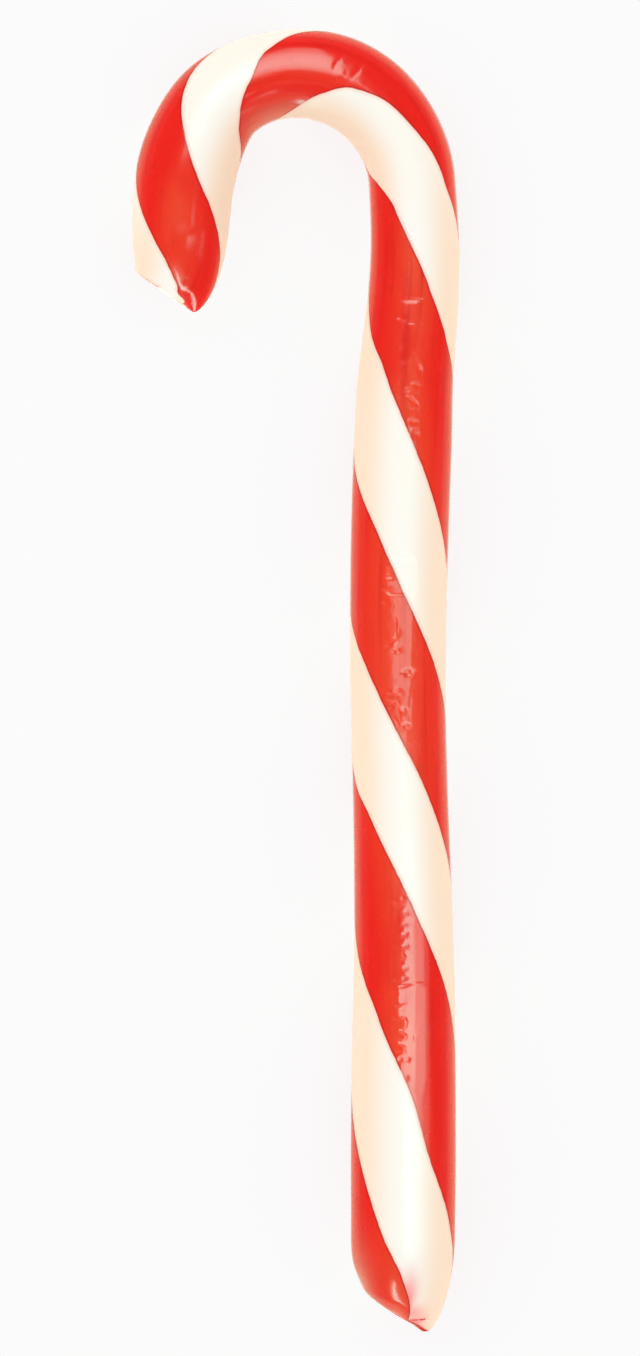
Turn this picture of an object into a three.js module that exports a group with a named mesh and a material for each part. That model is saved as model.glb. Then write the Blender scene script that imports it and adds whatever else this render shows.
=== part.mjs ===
// A candy cane: one crooked stick of pulled hard sugar, with red and white stripes wound round it.
// It lies on its back. +Y runs up the stick towards the crook, the crook turns towards -X, and +Z
// points out of the shown side. The origin is on the slab, under the middle of the bounding box.
// Lengths are in millimetres and angles in degrees.

import * as THREE from "three";

// The rod's centreline. Places along it are measured from the foot.
const ROD_LENGTH = 189.2;
const STICK_LENGTH = 134; // the straight run, up to the crook
const STICK_LEAN = 0.27; // of the stick, away from +Y towards +X
const CROOK_RADIUS = 12.6;
const CROOK_TURN = 172.9; // so the tip points a little outwards

// Slow sideways bows, from rolling and bending the warm rod by hand: where each is widest, how far
// it reaches both ways, and by how much it moves the rod to the right of its run.
const BOWS = [
  { at: 81.6, reach: 43.5, by: -0.9 },
  { at: 125.7, reach: 17.9, by: 0.87 },
  { at: 169.1, reach: 6.7, by: -0.49 },
  { at: 171, reach: 18.2, by: 0.97 },
];

// The hand-rolled rod thins and thickens: its thickest and thinnest places.
const RADII = [
  { at: 0, radius: 6.1 },
  { at: 20, radius: 6.2 },
  { at: 68, radius: 5.6 },
  { at: 99, radius: 5.8 },
  { at: 137, radius: 5.12 },
  { at: 149, radius: 5.32 },
  { at: 156.5, radius: 5.2 },
  { at: 173, radius: 5.92 },
  { at: ROD_LENGTH, radius: 5.3 },
];

// The stripes wind left-handed, tighter round the crook. Each of these places is a quarter turn on
// from the one before: there the next edge between two stripes crosses the middle of the shown side.
const QUARTER_TURNS = [5.5, 29, 51.5, 69.4, 87.1, 106.5, 125.3, 146.9, 160.7, 171.4, 187];
const STRIPES = 4;

// Both ends were snipped while warm, which pinched the rod down to a blunt edge. The edge crosses
// the rod at a slant: its right-hand side, looking up the run, lies nearer the foot.
const FOOT = {
  inset: 1.4, // of the middle of the edge, from this end of the centreline
  pinch: 9.3, // length over which the rod closes in
  slant: 32,
  shift: -0.6, // of the middle of the edge, to the right of the run
  width: 0.47, // of the edge, as a share of the rod's
  thickness: 0.26, // of the edge, as a share of the rod's
};
const TIP = { inset: 2, pinch: 8.3, slant: 33, shift: 1.4, width: 0.64, thickness: 0.28 };

// The warm rod settled on the slab, which left a narrow flat along its underside.
const FLAT_DEPTH = 0.2;

// Facets.
const STRIPE_FACES = 9; // across one stripe
const STICK_STEP = 2.2; // along the stick
const CROOK_STEP = 1.15; // round the crook, which starts a little before the straight run ends
const CROOK_START = 126;
const PINCH_RINGS = 12; // along one pinched end

const RED = 0xe2261f;
const WHITE = 0xfdeeda;
const ROUGHNESS = 0.25;

const QUARTER = 90;
const radians = THREE.MathUtils.degToRad;
const clamp = THREE.MathUtils.clamp;

// The rod's radius at a place: it eases from each named place to the next.
function radiusAt(at) {
  const next = clamp(RADII.findIndex((place) => place.at > at), 1, RADII.length - 1);
  const low = RADII[next - 1];
  const high = RADII[next];
  const share = THREE.MathUtils.smoothstep(at, low.at, high.at);
  return THREE.MathUtils.lerp(low.radius, high.radius, share);
}

// Quarter turns wound in one millimetre, at one of the named places.
function windingRate(place) {
  const before = Math.max(place - 1, 0);
  const after = Math.min(place + 1, QUARTER_TURNS.length - 1);
  return (after - before) / (QUARTER_TURNS[after] - QUARTER_TURNS[before]);
}

// How far the stripes have wound: a smooth curve through the named places, which goes on past the
// first and the last of them at the same rate.
function windingAt(at) {
  const last = QUARTER_TURNS.length - 1;
  const high = clamp(
    QUARTER_TURNS.findIndex((place) => place > at),
    at < QUARTER_TURNS[last] ? 1 : last,
    last,
  );
  const low = high - 1;
  const span = QUARTER_TURNS[high] - QUARTER_TURNS[low];
  const share = clamp((at - QUARTER_TURNS[low]) / span, 0, 1);
  const beyond = at - QUARTER_TURNS[low] - share * span;
  const eased = share * share * (3 - 2 * share);
  const lean = (1 - share) * windingRate(low) - share * windingRate(high);
  const turns = low + eased + span * share * (1 - share) * lean;
  return (turns + beyond * windingRate(beyond < 0 ? 0 : last)) * QUARTER;
}

// The centreline, in the plane of the slab: a straight stick, a round crook and a short straight
// end, all moved sideways by the bows.
class Centreline extends THREE.Curve {
  getPoint(share, point = new THREE.Vector3()) {
    const at = share * ROD_LENGTH;
    const start = radians(QUARTER - STICK_LEAN);
    const stick = Math.min(at, STICK_LENGTH);
    const turn = clamp((at - STICK_LENGTH) / CROOK_RADIUS, 0, radians(CROOK_TURN));
    const end = Math.max(at - STICK_LENGTH - CROOK_RADIUS * radians(CROOK_TURN), 0);
    const heading = start + turn;
    const bow = BOWS.reduce((sum, { at: middle, reach, by }) => {
      const away = clamp(Math.abs(at - middle) / reach, 0, 1);
      return sum + (by / 2) * (1 + Math.cos(Math.PI * away));
    }, 0);
    const along = (angle, length) => {
      point.x += Math.cos(angle) * length;
      point.y += Math.sin(angle) * length;
    };
    point.set(0, 0, 0);
    along(start, stick);
    along(start + radians(QUARTER), CROOK_RADIUS);
    along(heading - radians(QUARTER), CROOK_RADIUS + bow);
    along(heading, end);
    return point;
  }
}

const centreline = new Centreline();

// One ring of the rod's skin. Its corners turn with the stripes, so an edge between two stripes is
// always a line of corners. wide and tall scale the round section, shift moves it to the right of
// the run and slant leans it. What would sink into the slab lies flat on it.
function ring(at, { wide = 1, tall = 1, shift = 0, slant = 0 } = {}) {
  const ahead = centreline.getTangent(at / ROD_LENGTH);
  const right = new THREE.Vector3(ahead.y, -ahead.x, 0);
  const radius = radiusAt(at);
  const centre = centreline.getPoint(at / ROD_LENGTH).addScaledVector(right, shift);
  const corners = [];
  for (let corner = 0; corner < STRIPES * STRIPE_FACES; corner++) {
    const angle = radians((corner * QUARTER) / STRIPE_FACES - windingAt(at));
    const across = Math.sin(angle) * radius * wide;
    const point = centre.clone().addScaledVector(right, across);
    point.addScaledVector(ahead, -Math.tan(radians(slant)) * across);
    point.z = Math.max(radius - FLAT_DEPTH + Math.cos(angle) * radius * tall, 0);
    corners.push(point);
  }
  return corners;
}

// The rings of one pinched end, from the plain rod out to the edge, where the skin turns over a
// round rim. side is -1 at the foot and 1 at the tip.
function pinchedEnd(end, side) {
  const limit = side < 0 ? 0 : ROD_LENGTH;
  const rim = (end.thickness * radiusAt(limit)) / end.pinch;
  const rings = [];
  for (let step = 1; step <= PINCH_RINGS; step++) {
    const turn = radians((step / (PINCH_RINGS + 1)) * QUARTER);
    const closed = Math.sin(turn);
    const roundRim = Math.sqrt(1 - Math.max(1 - (1 - closed) / rim, 0) ** 2);
    rings.push(
      ring(limit - side * (end.inset + end.pinch * (1 - closed)), {
        wide: THREE.MathUtils.lerp(end.width, 1, Math.cos(turn)),
        tall: THREE.MathUtils.lerp(1, end.thickness, closed ** 2) * roundRim,
        shift: end.shift * closed ** 4,
        slant: end.slant * closed ** 3,
      }),
    );
  }
  return rings;
}

function middleOf(corners) {
  const sum = corners.reduce((total, corner) => total.add(corner), new THREE.Vector3());
  return sum.divideScalar(corners.length);
}

// Skins the rings, closes both ends with a fan, and sorts the facets by stripe: group 0 is red and
// group 1 is white. Each facet's corners run counter-clockwise, seen from outside.
function skin(rings) {
  const sides = rings[0].length;
  const foot = rings.length * sides;
  const tip = foot + 1;
  const lastRing = (rings.length - 1) * sides;
  const corners = [...rings.flat(), middleOf(rings[0]), middleOf(rings.at(-1))];
  const red = [];
  const white = [];
  for (let side = 0; side < sides; side++) {
    const next = (side + 1) % sides;
    const stripe = Math.floor(side / STRIPE_FACES);
    const faces = stripe % 2 ? red : white;
    faces.push(foot, next, side);
    for (let base = 0; base < lastRing; base += sides) {
      faces.push(base + side, base + next, base + sides + next);
      faces.push(base + side, base + sides + next, base + sides + side);
    }
    faces.push(tip, lastRing + side, lastRing + next);
  }
  const geometry = new THREE.BufferGeometry().setFromPoints(corners);
  geometry.setIndex([...red, ...white]);
  geometry.addGroup(0, red.length, 0);
  geometry.addGroup(red.length, white.length, 1);
  geometry.computeVertexNormals();
  return geometry;
}

// Rings of the plain rod, about step apart. The last place is left to what follows.
function plainRings(from, to, step) {
  const count = Math.round((to - from) / step);
  return Array.from({ length: count }, (_, place) =>
    ring(THREE.MathUtils.lerp(from, to, place / count)),
  );
}

function caneGeometry() {
  const start = FOOT.inset + FOOT.pinch;
  const end = ROD_LENGTH - TIP.inset - TIP.pinch;
  const geometry = skin([
    ...pinchedEnd(FOOT, -1).reverse(),
    ...plainRings(start, CROOK_START, STICK_STEP),
    ...plainRings(CROOK_START, end, CROOK_STEP),
    ring(end),
    ...pinchedEnd(TIP, 1),
  ]);
  geometry.computeBoundingBox();
  const middle = geometry.boundingBox.getCenter(new THREE.Vector3());
  return geometry.translate(-middle.x, -middle.y, 0);
}

function sugar(color) {
  return new THREE.MeshStandardMaterial({ color, roughness: ROUGHNESS, metalness: 0 });
}

const cane = new THREE.Mesh(caneGeometry(), [sugar(RED), sugar(WHITE)]);
cane.name = "cane";

const candyCane = new THREE.Group();
candyCane.name = "candy_cane";
candyCane.add(cane);

export default candyCane;
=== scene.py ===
"""Looks of the candy cane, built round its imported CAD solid.

The cane lies on its back: +Y runs up the stick towards the crook, the crook turns towards -X and +Z
points out of the shown side. Sizes in the classes are in millimetres and degrees, as in the part's
source. Meshes, lights and the camera are in metres.
"""

import logging
import math
from dataclasses import dataclass, field
from enum import Enum

import bpy
import numpy as np
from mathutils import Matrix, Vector, noise


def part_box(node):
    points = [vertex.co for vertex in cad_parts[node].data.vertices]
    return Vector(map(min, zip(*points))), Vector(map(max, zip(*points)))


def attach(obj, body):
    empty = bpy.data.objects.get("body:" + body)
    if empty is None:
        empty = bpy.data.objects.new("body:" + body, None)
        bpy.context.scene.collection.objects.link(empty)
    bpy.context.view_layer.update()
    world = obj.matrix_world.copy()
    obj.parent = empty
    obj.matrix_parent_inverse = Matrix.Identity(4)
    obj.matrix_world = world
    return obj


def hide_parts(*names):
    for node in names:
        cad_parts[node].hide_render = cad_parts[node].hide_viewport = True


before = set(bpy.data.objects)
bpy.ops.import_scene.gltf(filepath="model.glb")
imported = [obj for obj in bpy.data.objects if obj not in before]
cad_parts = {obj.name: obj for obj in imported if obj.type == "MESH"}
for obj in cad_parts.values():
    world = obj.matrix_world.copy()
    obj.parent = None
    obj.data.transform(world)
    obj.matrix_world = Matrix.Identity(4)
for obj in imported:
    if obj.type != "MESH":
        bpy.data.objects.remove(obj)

LOG = logging.getLogger("candy_cane")
MM = 0.001  # metres in a millimetre
QUARTER = 90.0  # degrees
FULL_TURN = 2.0 * math.pi

Array = np.ndarray
Place = tuple[float, float]  # a place along the rod, and the value there
Span = tuple[float, float]  # where something starts and ends
Colour = tuple[float, float, float]
Ramp = tuple[float, ...]  # where it starts and ends, then its values there if they aren't 0 and 1
Output = bpy.types.NodeSocket
PLAIN: Colour = (1.0, 1.0, 1.0)
FULL_BEAM = 180.0


class Sugar(Enum):
    """The two sugars that are pulled side by side."""

    RED = "red"
    WHITE = "white"


class Role(Enum):
    """What a softbox does."""

    GLINT = "is seen in the gloss"
    GLOW = "lights the matt surfaces"


def smooth_share(share: Array) -> Array:
    """A share that leaves 0 and reaches 1 without a corner."""
    return share * share * (3.0 - 2.0 * share)


def eased(at: Array, places: tuple[Place, ...]) -> Array:
    """Values that ease from each named place to the next.

    Args:
        at: Places along the rod.
        places: Named places with their values, from the foot up.

    Returns:
        The value at each place.
    """
    ends = np.array([place for place, _ in places])
    values = np.array([value for _, value in places])
    low = np.clip(np.searchsorted(ends, at, side="right"), 1, len(ends) - 1) - 1
    share = smooth_share(np.clip((at - ends[low]) / (ends[low + 1] - ends[low]), 0.0, 1.0))
    return values[low] + (values[low + 1] - values[low]) * share


def smooth_step(values: Array, low: float, high: float) -> Array:
    """Rises smoothly from 0 at low to 1 at high."""
    return smooth_share(np.clip((values - low) / (high - low), 0.0, 1.0))


def along_line(at: Array, across: Array, line: tuple[Place, ...]) -> tuple[Array, Array]:
    """Where places on the skin lie beside a line over it.

    Args:
        at: Places along the rod.
        across: Places over the skin, to the right of the run.
        line: (at, across) of the line's corners.

    Returns:
        Distances from the line, and shares of the way along it.
    """
    nearest = np.full(at.shape, np.inf)
    along = np.zeros(at.shape)
    for order, (start, end) in enumerate(zip(line, line[1:])):
        run = np.array(end) - np.array(start)
        share = ((at - start[0]) * run[0] + (across - start[1]) * run[1]) / float(run @ run)
        share = np.clip(share, 0.0, 1.0)
        away = np.hypot(at - start[0] - share * run[0], across - start[1] - share * run[1])
        along = np.where(away < nearest, (order + share) / (len(line) - 1), along)
        nearest = np.minimum(away, nearest)
    return nearest, along


@dataclass(frozen=True)
class Bow:
    """A slow sideways bow of the hand-bent rod."""

    at: float  # where it is widest
    reach: float  # how far it reaches both ways
    by: float  # how far it moves the rod, to the right of its run


@dataclass(frozen=True)
class Pinch:
    """A rod's end, snipped while warm, which pinched it down to a blunt slanting edge."""

    inset: float  # of the middle of the edge, from this end of the centreline
    length: float  # over which the rod closes in
    slant: float  # of the edge
    shift: float  # of the middle of the edge, to the right of the run
    width: float  # of the edge, as a share of the rod's
    thickness: float  # of the edge, as a share of the rod's
    torn: tuple[Place, ...]  # how far the edge sticks out, from its left to its right
    rings: int = 36

    def closed(self, away: Array) -> Array:
        """How far the rod has closed in, from 0 to 1, at distances from this end of the centreline."""
        return np.clip(1.0 - (away - self.inset) / self.length, 0.0, 1.0)


@dataclass
class Rings:
    """Rings of the rod's skin: where each one is and how far it reaches.

    A corner at an angle from straight up lies at
    middle + sideways * sin(angle) + up * upward * cos(angle), and not below the slab.
    """

    at: Array
    middle: Array
    sideways: Array
    upward: Array

    def joined(self, other: "Rings") -> "Rings":
        """These rings followed by others."""
        pairs = ((getattr(self, name), getattr(other, name)) for name in vars(self))
        return Rings(*(np.concatenate(pair) for pair in pairs))

    def backwards(self) -> "Rings":
        """The same rings in the opposite order."""
        return Rings(*(getattr(self, name)[::-1] for name in vars(self)))


@dataclass
class RodPath:
    """The rod's centreline, thickness and winding, with the values of the part's source."""

    length: float = 189.2
    stick: float = 134.0  # the straight run, up to the crook
    lean: float = 0.27  # of the stick, away from +Y towards +X
    crook_radius: float = 12.6
    crook_turn: float = 172.9
    bows: tuple[Bow, ...] = (
        Bow(81.6, 43.5, -0.9),
        Bow(125.7, 17.9, 0.87),
        Bow(169.1, 6.7, -0.49),
        Bow(171.0, 18.2, 0.97),
    )
    radii: tuple[Place, ...] = (
        (0.0, 6.1), (20.0, 6.2), (68.0, 5.6), (99.0, 5.8), (137.0, 5.12), (149.0, 5.32),
        (156.5, 5.2), (173.0, 5.92), (189.2, 5.3),
    )
    quarter_turns: tuple[float, ...] = (
        5.5, 29.0, 51.5, 69.4, 87.1, 106.5, 125.3, 146.9, 160.7, 171.4, 187.0,
    )
    foot: Pinch = Pinch(
        inset=1.4,
        length=9.3,
        slant=32.0,
        shift=-0.6,
        width=0.47,
        thickness=0.26,
        torn=((-1.0, 0.0), (-0.4, 0.05), (0.0, -0.12), (0.3, 0.0), (0.7, -0.1), (1.0, 0.0)),
    )
    tip: Pinch = Pinch(
        inset=2.0,
        length=8.3,
        slant=33.0,
        shift=1.4,
        width=0.64,
        thickness=0.28,
        torn=(
            (-1.0, -0.6), (-0.6, -0.65), (-0.26, -0.25), (0.15, -0.3),
            (0.45, -0.15), (0.85, 0.0), (1.0, -0.1),
        ),
    )
    flat_depth: float = 0.2  # of the narrow flat on the underside
    skin_inset: float = 0.02  # keeps the round skin inside the faceted solid's box
    tangent_step: float = 0.01892  # both ways, to the points that give the run's direction
    last_turn: float = 89.6  # of a pinched end's rim, in degrees: closed but for a hair
    tear_sharpness: int = 6  # keeps a torn edge's moves close to the edge

    def point(self, at: Array) -> Array:
        """Points of the centreline, in the plane of the slab.

        Args:
            at: Places along the rod.

        Returns:
            X and Y of each place.
        """
        start = math.radians(QUARTER - self.lean)
        full = math.radians(self.crook_turn)
        run = np.minimum(at, self.stick)
        turn = np.clip((at - self.stick) / self.crook_radius, 0.0, full)
        end = np.maximum(at - self.stick - self.crook_radius * full, 0.0)
        bow = sum(
            bow.by / 2.0 * (1.0 + np.cos(np.pi * np.clip(np.abs(at - bow.at) / bow.reach, 0.0, 1.0)))
            for bow in self.bows
        )
        heading = start + turn
        right = math.radians(QUARTER)
        legs = (
            (start, run),
            (start + right, self.crook_radius),
            (heading - right, self.crook_radius + bow),
            (heading, end),
        )
        x = sum(np.cos(angle) * size for angle, size in legs)
        y = sum(np.sin(angle) * size for angle, size in legs)
        return np.stack([x, y], axis=-1)

    def ahead(self, at: Array) -> Array:
        """Unit vectors along the run."""
        ahead = self.point(at + self.tangent_step) - self.point(at - self.tangent_step)
        return ahead / np.linalg.norm(ahead, axis=-1, keepdims=True)

    def radius(self, at: Array) -> Array:
        """The rod's radius."""
        return eased(at, self.radii) - self.skin_inset

    def winding(self, at: Array) -> Array:
        """How far the stripes have wound: a smooth curve through the quarter turns.

        Args:
            at: Places along the rod.

        Returns:
            Turns in degrees.
        """
        places = np.array(self.quarter_turns)
        last = len(places) - 1
        order = np.arange(last + 1)
        before = np.maximum(order - 1, 0)
        after = np.minimum(order + 1, last)
        rate = (after - before) / (places[after] - places[before])
        low = np.clip(np.searchsorted(places, at, side="right"), 1, last) - 1
        span = places[low + 1] - places[low]
        share = np.clip((at - places[low]) / span, 0.0, 1.0)
        beyond = at - places[low] - share * span
        lean = (1.0 - share) * rate[low] - share * rate[low + 1]
        turns = low + smooth_share(share) + span * share * (1.0 - share) * lean
        return (turns + beyond * np.where(beyond < 0.0, rate[0], rate[last])) * QUARTER

    def rings(self, at: Array, wide: Array, tall: Array, shift: Array, slant: Array) -> Rings:
        """Rings of the skin.

        Args:
            at: Places along the rod.
            wide: Scale of each round section to the sides.
            tall: Scale of each round section upwards.
            shift: How far each ring moves to the right of the run.
            slant: How far each ring leans, in degrees.

        Returns:
            The rings, not yet moved to the middle of the bounding box.
        """
        radius = self.radius(at)
        ahead = self.ahead(at)
        right = np.stack([ahead[:, 1], -ahead[:, 0]], axis=-1)
        flat = np.zeros((len(at), 1))
        level = (eased(at, self.radii) - self.flat_depth)[:, None]
        middle = self.point(at) + right * shift[:, None]
        sideways = (right - ahead * np.tan(np.radians(slant))[:, None]) * (radius * wide)[:, None]
        return Rings(
            at=at,
            middle=np.hstack([middle, level]),
            sideways=np.hstack([sideways, flat]),
            upward=radius * tall,
        )

    def plain_rings(self, at: Array) -> Rings:
        """Round rings at the given places."""
        return self.rings(at, np.ones_like(at), np.ones_like(at), np.zeros_like(at), np.zeros_like(at))

    def pinched_rings(self, end: Pinch, limit: float, inwards: float) -> Rings:
        """The rings of one pinched end.

        Args:
            end: Sizes of the pinched end.
            limit: Where this end of the centreline is.
            inwards: 1 where the rod runs on towards larger places, and -1 where it doesn't.

        Returns:
            Rings from the plain rod out to the edge, where the skin turns over a round rim.
        """
        turn = np.radians(np.linspace(0.0, self.last_turn, end.rings + 1)[1:])
        closed = np.sin(turn)
        rim = end.thickness * float(self.radius(np.array([limit]))[0]) / end.length
        round_rim = np.sqrt(1.0 - np.maximum(1.0 - (1.0 - closed) / rim, 0.0) ** 2)
        return self.rings(
            at=limit + inwards * (end.inset + end.length * (1.0 - closed)),
            wide=end.width + (1.0 - end.width) * np.cos(turn),
            tall=(1.0 + (end.thickness - 1.0) * closed**2) * round_rim,
            shift=end.shift * closed**4,
            slant=end.slant * closed**3,
        )

    def torn_edges(self, at: Array, angle: Array) -> Array:
        """How far the snipped edges stick out where they tore.

        Args:
            at: Places along the rod.
            angle: Angles round the rod from straight up, in radians.

        Returns:
            Moves in the plane of the slab.
        """
        reach = np.zeros(at.shape)
        for end, away, outwards in ((self.foot, at, -1.0), (self.tip, self.length - at, 1.0)):
            share = end.closed(away) ** self.tear_sharpness
            reach += outwards * share * eased(np.sin(angle), end.torn)
        return self.ahead(at) * reach[:, None]


@dataclass(frozen=True)
class Edge:
    """One of the four edges between stripes, and how it strays from the even winding."""

    ahead: Sugar  # the sugar on the side of larger angles
    strays: tuple[Place, ...]  # in degrees


@dataclass(frozen=True)
class Smear:
    """A thin trail of red, drawn over the white where the rod was snipped."""

    line: tuple[Place, ...]  # (at, across) of its corners
    width: float


@dataclass(frozen=True)
class Stain:
    """A soft patch of colour, used for red bleeding into the white, for a painted glint and for painted
    glows.
    """

    at: float
    across: float
    length: float
    width: float
    strength: float


@dataclass
class Stripes:
    """The red and white stripes wound round the rod."""

    path: RodPath
    edges: tuple[Edge, ...] = (
        Edge(
            Sugar.WHITE,
            (
                (2.1, 5.0), (5.8, 1.5), (11.0, -2.5), (20.0, -1.5), (30.0, 0.0), (92.0, 0.5),
                (102.0, -12.0), (148.0, 19.0), (154.0, 17.0), (157.0, 9.5), (160.0, -7.0),
                (163.0, -12.0), (166.0, -6.0), (175.0, -5.0),
            ),
        ),
        Edge(
            Sugar.RED,
            (
                (13.0, -2.3), (19.0, -6.0), (28.0, 1.5), (36.0, -2.3), (44.0, -9.5),
                (60.0, 2.0), (94.0, -2.8), (112.0, -3.0), (116.0, -11.0), (135.0, 0.0),
                (163.0, -6.5), (174.0, -3.3), (186.0, 0.0),
            ),
        ),
        Edge(
            Sugar.WHITE,
            (
                (37.0, 6.5), (48.0, 1.2), (60.0, 0.5), (64.0, -7.4), (105.0, 11.5),
                (112.0, 12.0), (116.0, 7.0), (122.0, 2.8), (131.0, -2.5), (137.0, -31.0),
                (160.0, 8.0), (177.0, 1.5), (181.0, -1.3), (184.0, -5.0), (184.8, -8.0),
                (186.4, -17.0), (187.1, -38.0),
            ),
        ),
        Edge(
            Sugar.RED,
            (
                (55.0, -5.7), (67.0, -1.4), (76.0, -1.2), (86.0, -10.8), (128.0, -2.0),
                (134.0, -9.0), (139.0, -12.5), (145.0, -4.0), (148.0, 0.0), (151.0, -3.0),
                (157.5, -9.5), (165.0, -10.0),
            ),
        ),
    )
    smears: tuple[Smear, ...] = (
        Smear(((1.5, 1.0), (1.5, 8.0)), 0.15),
        Smear(((1.7, 2.4), (2.35, 4.9)), 0.08),
        # painted shade: a red line along the tip's snipped rim, where the underside of the edge lies in
        # shadow
        Smear(((187.2, 1.2), (187.2, 5.8)), 0.08),
    )
    stains: tuple[Stain, ...] = (
        Stain(3.8, 1.0, 2.6, 1.15, 0.78),
        Stain(2.5, 2.3, 0.9, 2.0, 0.62),
        Stain(1.7, 3.3, 0.6, 1.6, 0.85),
        # painted highlight: a pink glint painted on the white at the tip
        Stain(184.9, -2.6, 1.2, 0.9, 0.3),
    )
    # painted light: soft orange glows on the red, inside the crook and down the left side of the foot
    painted_glow_spots: tuple[Stain, ...] = (
        Stain(157.0, -5.4, 9.0, 2.1, 0.95),
        Stain(5.0, -6.6, 5.0, 2.6, 0.9),
    )
    # painted light: how much further the orange glow painted on the crown of the red reaches, along the
    # rod
    warmth: tuple[Place, ...] = (
        (0.0, 0.1), (45.0, 0.0), (66.0, 0.5), (98.0, 0.5), (112.0, 0.0), (132.0, 0.0),
        (142.0, -0.4), (168.0, -0.4), (180.0, 0.0),
    )
    # painted light: the outside of the crook keeps less of the white's painted side shade, as if lit
    # from there
    outer_painted_light: tuple[Place, ...] = ((126.0, 0.0), (142.0, 0.75), (172.0, 0.75), (184.0, 0.0))
    outer_light_side: Span = (0.0, 0.6)  # the sine of the angles over which the paler white fades in
    rate_span: float = 1.0  # over which the rate of the winding is measured

    def distance(self, at: Array, angle: Array) -> Array:
        """Distance from the nearest edge between two stripes.

        Args:
            at: Places along the rod.
            angle: Angles round the rod from straight up, to the right of the run, in radians.

        Returns:
            Distances in millimetres over the skin, positive in the white and negative in the red.
        """
        turned = np.degrees(angle) + self.path.winding(at)
        nearest = np.full(at.shape, np.inf)
        signed = np.zeros(at.shape)
        for order, edge in enumerate(self.edges):
            away = turned - QUARTER * order - eased(at, edge.strays)
            away = (away + 2.0 * QUARTER) % (4.0 * QUARTER) - 2.0 * QUARTER
            closer = np.abs(away) < nearest
            nearest = np.where(closer, np.abs(away), nearest)
            signed = np.where(closer, away if edge.ahead is Sugar.WHITE else -away, signed)
        half = self.rate_span / 2.0
        wind = (self.path.winding(at + half) - self.path.winding(at - half)) / self.rate_span
        radius = self.path.radius(at)
        climb = np.radians(wind) * radius
        skin = np.radians(signed) * radius / np.sqrt(1.0 + climb**2)
        shown = np.abs(angle) < math.radians(QUARTER)
        for smear in self.smears:
            away, _ = along_line(at, angle * radius, smear.line)
            skin = np.where(shown, np.minimum(skin, away - smear.width), skin)
        return skin

    def bleed(self, at: Array, angle: Array) -> Array:
        """How pink the white is, from 0 to 1, at each place: red bleeding in at the foot, a painted
        glint at the tip.
        """
        return self._spread(self.stains, at, angle)

    def thin(self, at: Array, angle: Array) -> Array:
        """How much painted glow lies on the red, from 0 to 1, at each place."""
        return self._spread(self.painted_glow_spots, at, angle)

    def pale(self, at: Array, angle: Array) -> Array:
        """How much painted light pales the white, from 0 to 1, on the outside of the crook."""
        return eased(at, self.outer_painted_light) * smooth_step(np.sin(angle), *self.outer_light_side)

    def _spread(self, stains: tuple[Stain, ...], at: Array, angle: Array) -> Array:
        """The strongest of soft patches at each place.

        Args:
            stains: The patches.
            at: Places along the rod.
            angle: Angles round the rod from straight up, in radians.

        Returns:
            Strengths from 0 to 1.
        """
        across = angle * self.path.radius(at)
        share = np.zeros(at.shape)
        for stain in stains:
            away = ((at - stain.at) / stain.length) ** 2 + ((across - stain.across) / stain.width) ** 2
            share = np.maximum(share, stain.strength * np.exp(-away))
        return share


@dataclass(frozen=True)
class Dimple:
    """A small smooth pit."""

    at: float
    across: float  # over the skin, to the right of the run
    length: float
    width: float
    depth: float
    turn: float = 0.0  # of its length, away from the run

    def height(self, at: Array, across: Array) -> Array:
        """How far it lifts the skin.

        Args:
            at: Places along the rod.
            across: Places over the skin, to the right of the run.

        Returns:
            Heights in millimetres, outwards.
        """
        turn = math.radians(self.turn)
        ahead = at - self.at
        aside = across - self.across
        run = (ahead * math.cos(turn) + aside * math.sin(turn)) / self.length
        over = (aside * math.cos(turn) - ahead * math.sin(turn)) / self.width
        return -self.depth * np.exp(-(run**2) - over**2)


@dataclass(frozen=True)
class Comb:
    """A row of like dimples along the run."""

    first: float
    last: float
    count: int
    across: float
    drift: float  # of the last dimple, to the right of the first
    length: float
    width: float
    depth: float
    sway: float = 0.3  # of the teeth to the sides, as a share of their width
    unevenness: float = 0.3  # of their depths
    phases: tuple[float, float] = (2.4, 1.7)  # from tooth to tooth, of the sway and of the depth

    def height(self, at: Array, across: Array) -> Array:
        """How far the row lifts the skin.

        Args:
            at: Places along the rod.
            across: Places over the skin, to the right of the run.

        Returns:
            Heights in millimetres, outwards.
        """
        lift = np.zeros(at.shape)
        for order in range(self.count):
            share = order / max(self.count - 1, 1)
            sway = self.sway * math.sin(self.phases[0] * order) * self.width
            uneven = self.unevenness * math.cos(self.phases[1] * order)
            tooth = Dimple(
                at=self.first + share * (self.last - self.first),
                across=self.across + share * self.drift + sway,
                length=self.length,
                width=self.width,
                depth=self.depth * (1.0 - self.unevenness / 2.0 + uneven),
            )
            lift += tooth.height(at, across)
        return lift


@dataclass(frozen=True)
class Groove:
    """A groove along a line over the skin, or a ridge where its depth is negative."""

    line: tuple[Place, ...]  # (at, across) of its corners
    width: float
    depth: float
    end_share: float = 0.07  # of the sine that fades it, left out at both ends

    def height(self, at: Array, across: Array) -> Array:
        """How far it lifts the skin.

        Args:
            at: Places along the rod.
            across: Places over the skin, to the right of the run.

        Returns:
            Heights in millimetres, outwards.
        """
        away, along = along_line(at, across, self.line)
        fade = np.sin(np.pi * (along * (1.0 - 2.0 * self.end_share) + self.end_share))
        return -self.depth * fade * np.exp(-((away / self.width) ** 2))


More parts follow.
